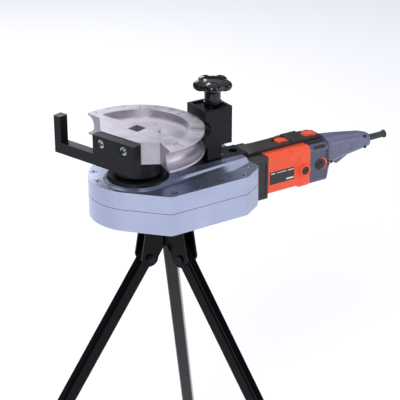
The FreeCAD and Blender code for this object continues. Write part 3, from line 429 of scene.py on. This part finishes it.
def rubber():
    """Moulded rubber: dull black with a dusty bloom."""
    material, tree, surface, where = new_material("moulded_rubber", "rubber")
    uneven(tree, surface, where, "#2B2C2F", "#1D1E20", 18, 0.55, 0.08)
    pitted(tree, surface, where, 1.2, 0.05, 0.4)
    return material


CAST = die_cast_aluminium()
TURNED = turned_aluminium()
BLACK_STEEL = black_oxide_steel()
ENAMEL = black_enamel()
ZINC = zinc_plate()
STEEL = ground_steel()
GEAR = case_hardened_steel()
IRON = varnished_iron()
COPPER = plain("drawn_copper", "copper", "#C9825A", "#A96A45", 6, 0.3, 1.0)
BRASS = plain("drawn_brass", "brass", "#C7A45B", "#A98A48", 6, 0.3, 1.0)
CARBON = plain("carbon_graphite", "carbon", "#26262A", "#17171A", 4, 0.6)
ORANGE = orange_nylon()
GREY = grey_nylon()
SHADED_GREY = shaded_grey_nylon()
PRINT = plain("white_print", "label", "#E8E6E2", "#DAD8D4", 10, 0.4)
ENGRAVED = engraving()
BLACK = black_nylon()
GLOSS = phenolic()
LABEL = label_film()
RUBBER = rubber()
BY_SLOT = {"cast_aluminium": CAST, "machined_aluminium": TURNED, "black_steel": BLACK_STEEL,
           "tripod_enamel": ENAMEL, "zinc_steel": ZINC, "ground_steel": STEEL, "gear_steel": GEAR,
           "core_steel": IRON, "copper": COPPER, "brass": BRASS, "carbon": CARBON, "orange_nylon": ORANGE,
           "grey_nylon": GREY, "black_nylon": BLACK, "black_phenolic": GLOSS, "label": LABEL,
           "rubber": RUBBER}


def dress_hidden_nodes():
    """Every CAD piece gets its own finish, the inner ones too."""
    for row in frame["record"]["subparts"]:
        piece = NODES[row["node"]]
        piece.data.materials.clear()
        piece.data.materials.append(BY_SLOT[row["material_slot"]])


# ---------------------------------------------------------------- pieces

def casting():
    """Gearbox castings, the black plate and rings on them, and their screws."""
    copy_of("gearbox_lower_housing", "lower_casting", CAST, 0.9, 3)
    copy_of("gearbox_lid", "lid_casting", CAST, 0.6, 2, 7)
    copy_of("bearing_cover", "bearing_ring", BLACK_STEEL, 0.5)
    copy_of("support_plate", "back_plate", BLACK_STEEL, 0.4)
    copy_of("drive_hub", "turning_hub", BLACK_STEEL, 0.5)
    copy_of("lid_screws", "lid_screw_set", ZINC, 0.25)
    copy_of("support_plate_screws", "plate_screw_set", ZINC, 0.2)
    copy_of("flange_screws", "flange_screw_set", ZINC, 0.2)


def lid_ridge():
    """Raised middle of the lid: a cone round the drive bearing, running into a tapered bar."""
    low, high, foot, inset = 63.6, 69.45, 54.0, 8.0
    seat_radius, channel_width, taper = 48.3, 40.8, 0.74
    middle_height = (low + high) / 2
    clear()
    bpy.ops.mesh.primitive_cone_add(vertices=64, radius1=foot * MM, radius2=(foot - inset) * MM,
                                    depth=(high - low) * MM, location=spot(0, 0, middle_height))
    nose = freeze(bpy.context.active_object)
    bar = block(89, 0, middle_height, 178, 2 * foot, high - low)
    narrow(bar, lambda point: point.z > spot(0, 0, middle_height).z, (foot - inset) / foot)
    narrow(bar, lambda point: point.x > spot(89, 0, 0).x, taper)
    ridge = joined(nose, bar)
    carve(ridge, [rod(0, 0, 66, seat_radius, 20), block(120, 0, 70, 142, channel_width, 16)])
    bevelled(ridge, 0.7, 2)
    smooth(ridge, 20)
    settle(ridge, "lid_ridge", CAST, "machine")


def narrow(piece, chosen, share):
    """Scales the chosen corners towards the machine's middle plane."""
    pick(piece)
    bpy.ops.object.mode_set(mode="EDIT")
    bpy.ops.mesh.select_all(action="DESELECT")
    bpy.ops.object.mode_set(mode="OBJECT")
    for corner in piece.data.vertices:
        corner.select = chosen(corner.co)
    bpy.ops.object.mode_set(mode="EDIT")
    bpy.ops.transform.resize(value=(1, share, 1), center_override=AXIS)
    bpy.ops.object.mode_set(mode="OBJECT")


# The former's own plan: u points from the drive axis at the hook, v across the flat side.
HOOK_TURN = math.radians(107.4)


def on_former(u, v):
    """A place on the former's plan as the machine's x and y."""
    across, up = math.cos(HOOK_TURN), math.sin(HOOK_TURN)
    return (u * across - v * up, u * up + v * across)


def degree_marks():
    """Engraved lines round the rim, longer every 45 degrees, with a number beside each of these."""
    top = (FORMER_TOP - GROUND_SIDE) / MM
    zero, line_end, number_radius = -6, 99.5, 85.5
    marks = []
    for step in range(13):
        angle = -15 * step + zero
        long = 10.0 if step % 3 == 0 else 6.5
        along = math.radians(angle)
        u, v = (line_end - long / 2) * math.cos(along), (line_end - long / 2) * math.sin(along)
        x, y = on_former(u, v)
        marks.append(block(x, y, top, long, 0.9, 0.12, turn=(0, 0, math.degrees(HOOK_TURN) + angle)))
    settle(joined(*marks), "degree_lines", ENGRAVED, "former")
    for step in range(1, 5):
        angle = -45 * step + zero
        along = math.radians(angle)
        x, y = on_former(number_radius * math.cos(along), number_radius * math.sin(along))
        clear()
        bpy.ops.object.text_add(location=spot(x, y, top - 0.05),
                                rotation=(0, 0, HOOK_TURN + along - math.pi / 2))
        text = bpy.context.active_object
        text.data.body = str(45 * step)
        text.data.align_x = "CENTER"
        text.data.align_y = "CENTER"
        text.data.size = 6.5 * MM
        text.data.extrude = 0.05 * MM
        pick(text)
        bpy.ops.object.convert(target="MESH")
        settle(bpy.context.active_object, f"degree_number_{45 * step}", ENGRAVED, "former")


def former_and_bar():
    """Former, hook bar with its screws, and the backing block."""
    copy_of("bending_former", "grooved_former", TURNED, 0.5, 2, 24)
    copy_of("holding_bar", "hook_bar", BLACK_STEEL, 0.7, 2)
    copy_of("back_former", "backing_block", BLACK_STEEL, 0.9, 3)
    copy_of("bar_screws", "bar_screw_pair", ZINC, 0.3)
    degree_marks()


def star_grip():
    """Moulded grip: domed middle and five round lobes melted into one skin, on a waisted stem."""
    grip_x, grip_z, lobe_reach = 136, 188.6, 19.2
    clear()
    bpy.ops.mesh.primitive_uv_sphere_add(segments=48, ring_count=24, radius=26.5 * MM,
                                         location=spot(grip_x, 0, grip_z))
    middle = bpy.context.active_object
    middle.scale = (1, 1, 0.40)
    parts = [freeze(middle)]
    for i in range(5):
        angle = math.radians(72 * i + 20)
        x, y = grip_x + lobe_reach * math.cos(angle), lobe_reach * math.sin(angle)
        clear()
        bpy.ops.mesh.primitive_uv_sphere_add(segments=32, ring_count=20, radius=12.4 * MM,
                                             location=spot(x, y, grip_z))
        lobe = bpy.context.active_object
        lobe.scale = (1, 1, 0.72)
        parts.append(freeze(lobe))
    head = joined(*parts)
    melt = head.modifiers.new("one_skin", "REMESH")
    melt.mode = "VOXEL"
    melt.voxel_size = 0.7 * MM
    soft = head.modifiers.new("soft", "SMOOTH")
    soft.factor = 0.5
    soft.iterations = 26
    apply_modifiers(head)
    smooth(head, 60)
    settle(head, "star_grip", GLOSS, "knob")
    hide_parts("star_knob")
    collar = rod(grip_x, 0, 158.6, 14.5, 8.4, ease=1.0)
    waist = rod(grip_x, 0, 172, 12.9, 22, ease=0.5)
    stem = joined(collar, waist)
    smooth(stem, 40)
    settle(stem, "grip_stem", GLOSS, "knob")
    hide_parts("star_knob")


def motor_unit():
    """Motor, rear housing and handle, with their recesses, louvres, slots, controls and blank label."""
    flange_cuts = [block(206, side * 38, 24, 18, 5, 54, ease=1) for side in (-1, 1)]
    copy_of("motor_flange", "flange_plate", BLACK, 0.7, cutters=flange_cuts)
    shoulder_cuts = [block(247, side * 33.7, 58.7, 44, 12, 6, turn=(-side * 45, 0, 0), ease=1.6)
                     for side in (-1, 1)]
    copy_of("motor_housing", "motor_case", ORANGE, 0.7, 3, 14, cutters=shoulder_cuts)
    louvres = [(side, 336.5 + 0.8 * i, 46 - 5.4 * i) for side in (-1, 1) for i in range(6)]
    vents = [block(x, side * 37.4, z, 9, 4, 2.6, turn=(0, -38, 0), ease=0.5) for side, x, z in louvres]
    slots = [block(322, side * 35.2, 55.0, 24, 6.5, 5, turn=(-side * 45, 0, 0), ease=2.2)
             for side in (-1, 1)]
    # The fan housing takes the darker copy of the grey nylon: painted shade.
    copy_of("rear_housing", "rear_case", SHADED_GREY, 0.7, 3, cutters=vents + slots)
    # Black sheets at the bottom of the louvres and slots: painted shade for the dark inside of the openings.
    painted_shade_floors = [block(x, side * 36.2, z, 8.6, 1.2, 2.4, turn=(0, -38, 0)) for side, x, z in louvres]
    painted_shade_floors += [block(322, side * 34.1, 53.9, 23, 6.1, 0.8, turn=(-side * 45, 0, 0), ease=0.3)
               for side in (-1, 1)]
    settle(joined(*painted_shade_floors), "painted_shade_openings", BLACK, "machine")
    copy_of("handle_near_shell", "handle_near", GREY, 0.4, 2, 40)
    copy_of("handle_far_shell", "handle_far", GREY, 0.4, 2, 40)
    copy_of("top_rail", "rail_strip", BLACK, 0.7)
    copy_of("direction_slide", "switch_slide", ORANGE, 0.6)
    copy_of("trigger", "trigger_lever", GREY, 1.0)
    spring = copy_of("trigger_spring", "trigger_return_spring", STEEL)
    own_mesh(spring)
    copy_of("cable_boot", "cord_boot", RUBBER, 0.4, 3, 40)
    copy_of("rating_plate", "blank_label", LABEL, 0.2)
    stripes = [block(x, -37.0, z, long, 0.2, high) for x, z, long, high in
               ((228.5, 29.4, 8, 1.4), (264, 29.4, 11, 1.4), (246, 29.4, 20, 0.8), (262.5, 15.0, 14, 2.2))]
    settle(joined(*stripes), "label_stripes", PRINT, "machine")
    copy_of("brush_caps", "brush_cap_pair", BLACK, 0.4)
    copy_of("handle_screws", "handle_screw_set", BLACK_STEEL, 0.3)


def dial():
    """Domed dial over a coloured ring that shows as a crescent on one side."""
    clear()
    bpy.ops.mesh.primitive_uv_sphere_add(segments=48, ring_count=24, radius=9.6 * MM,
                                         location=spot(323, -38.6, 25))
    dome = bpy.context.active_object
    dome.scale = (1, 0.5, 1)
    freeze(dome)
    pointer = block(323, -43.2, 29, 1.2, 1.2, 6, ease=0.3)
    knob = joined(dome, pointer)
    smooth(knob, 40)
    settle(knob, "dial_dome", BLACK, "dial")
    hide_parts("speed_dial")
    ring = rod(326.2, -38.2, 25, 10.4, 0.8, turn=(90, 0, 0), vertices=64, ease=0.25)
    smooth(ring)
    settle(ring, "dial_ring", ORANGE, "machine")


def tripod():
    """Bracket, three legs with their feet, and the pivot bolts."""
    copy_of("tripod_head", "tripod_bracket", ENAMEL, 0.6)
    for side in ("left", "far", "near"):
        copy_of(f"{side}_leg", f"{side}_leg_tube", ENAMEL, 0.0)
        copy_of(f"{side}_foot_cap", f"{side}_foot_pad", RUBBER, 1.0)
    copy_of("leg_pivot_bolts", "pivot_bolt_set", BLACK_STEEL, 0.4)


dress_hidden_nodes()
casting()
lid_ridge()
former_and_bar()
star_grip()
motor_unit()
dial()
tripod()


# ---------------------------------------------------------------- floor, light, camera

def stage():
    """A plain pale floor."""
    clear()
    bpy.ops.mesh.primitive_plane_add(size=60, location=(0, 0, -0.0005))
    floor = bpy.context.active_object
    floor.name = "floor"
    material = bpy.data.materials.new("pale_floor")
    material.use_nodes = True
    shader = material.node_tree.nodes["Principled BSDF"]
    shader.inputs["Base Color"].default_value = linear("#F2F2F4")
    shader.inputs["Roughness"].default_value = 0.9
    floor.data.materials.append(material)


def lamp(name, place, target, size, power):
    """A round soft light aimed at a point."""
    data = bpy.data.lights.new(name, "AREA")
    data.shape = "DISK"
    data.size = size
    data.energy = power
    item = bpy.data.objects.new(name, data)
    bpy.context.scene.collection.objects.link(item)
    item.location = place
    item.rotation_euler = (Vector(target) - Vector(place)).to_track_quat("-Z", "Y").to_euler()


def lighting():
    """A room that is dark low down and bright above, which the metal mirrors, and three soft lights."""
    dark_below, bright_above = 0.46, 0.56
    world = bpy.data.worlds.new("soft_room")
    world.use_nodes = True
    tree = world.node_tree
    shade = tree.nodes["Background"]
    where = add(tree, "ShaderNodeTexCoord").outputs["Generated"]
    height = add(tree, "ShaderNodeSeparateXYZ", Vector=where).outputs["Z"]
    room = add(tree, "ShaderNodeValToRGB", Fac=height)
    steps = room.color_ramp
    steps.elements[0].position, steps.elements[0].color = dark_below, linear("#4A4B53")
    steps.elements[1].position, steps.elements[1].color = bright_above, linear("#F6F8FF")
    tree.links.new(room.outputs[0], shade.inputs["Color"])
    shade.inputs["Strength"].default_value = 1.0
    bpy.context.scene.world = world
    centre = (AXIS.x, AXIS.y, FORMER_TOP)
    lamp("key", (-2.6, -2.4, 3.2), centre, 1.6, 95)
    lamp("fill", (2.6, -2.8, 1.6), centre, 2.2, 40)
    lamp("back", (0.6, 3.2, 2.6), centre, 1.8, 50)


def camera():
    """Looks down on the machine from its near left, with a long lens."""
    data = bpy.data.cameras.new("view")
    data.sensor_width = 36.0
    data.lens = 121.93
    item = bpy.data.objects.new("view", data)
    bpy.context.scene.collection.objects.link(item)
    start = Vector((AXIS.x - 0.95745, AXIS.y - 1.63764, FORMER_TOP + 0.7463))
    aim = Vector((AXIS.x + 0.0547, AXIS.y - 0.0891, FORMER_TOP - 0.0979))
    item.location = start
    item.rotation_euler = (aim - start).to_track_quat("-Z", "Y").to_euler()
    bpy.context.scene.camera = item
    bpy.context.scene.view_settings.view_transform = "Standard"


stage()
lighting()
camera()
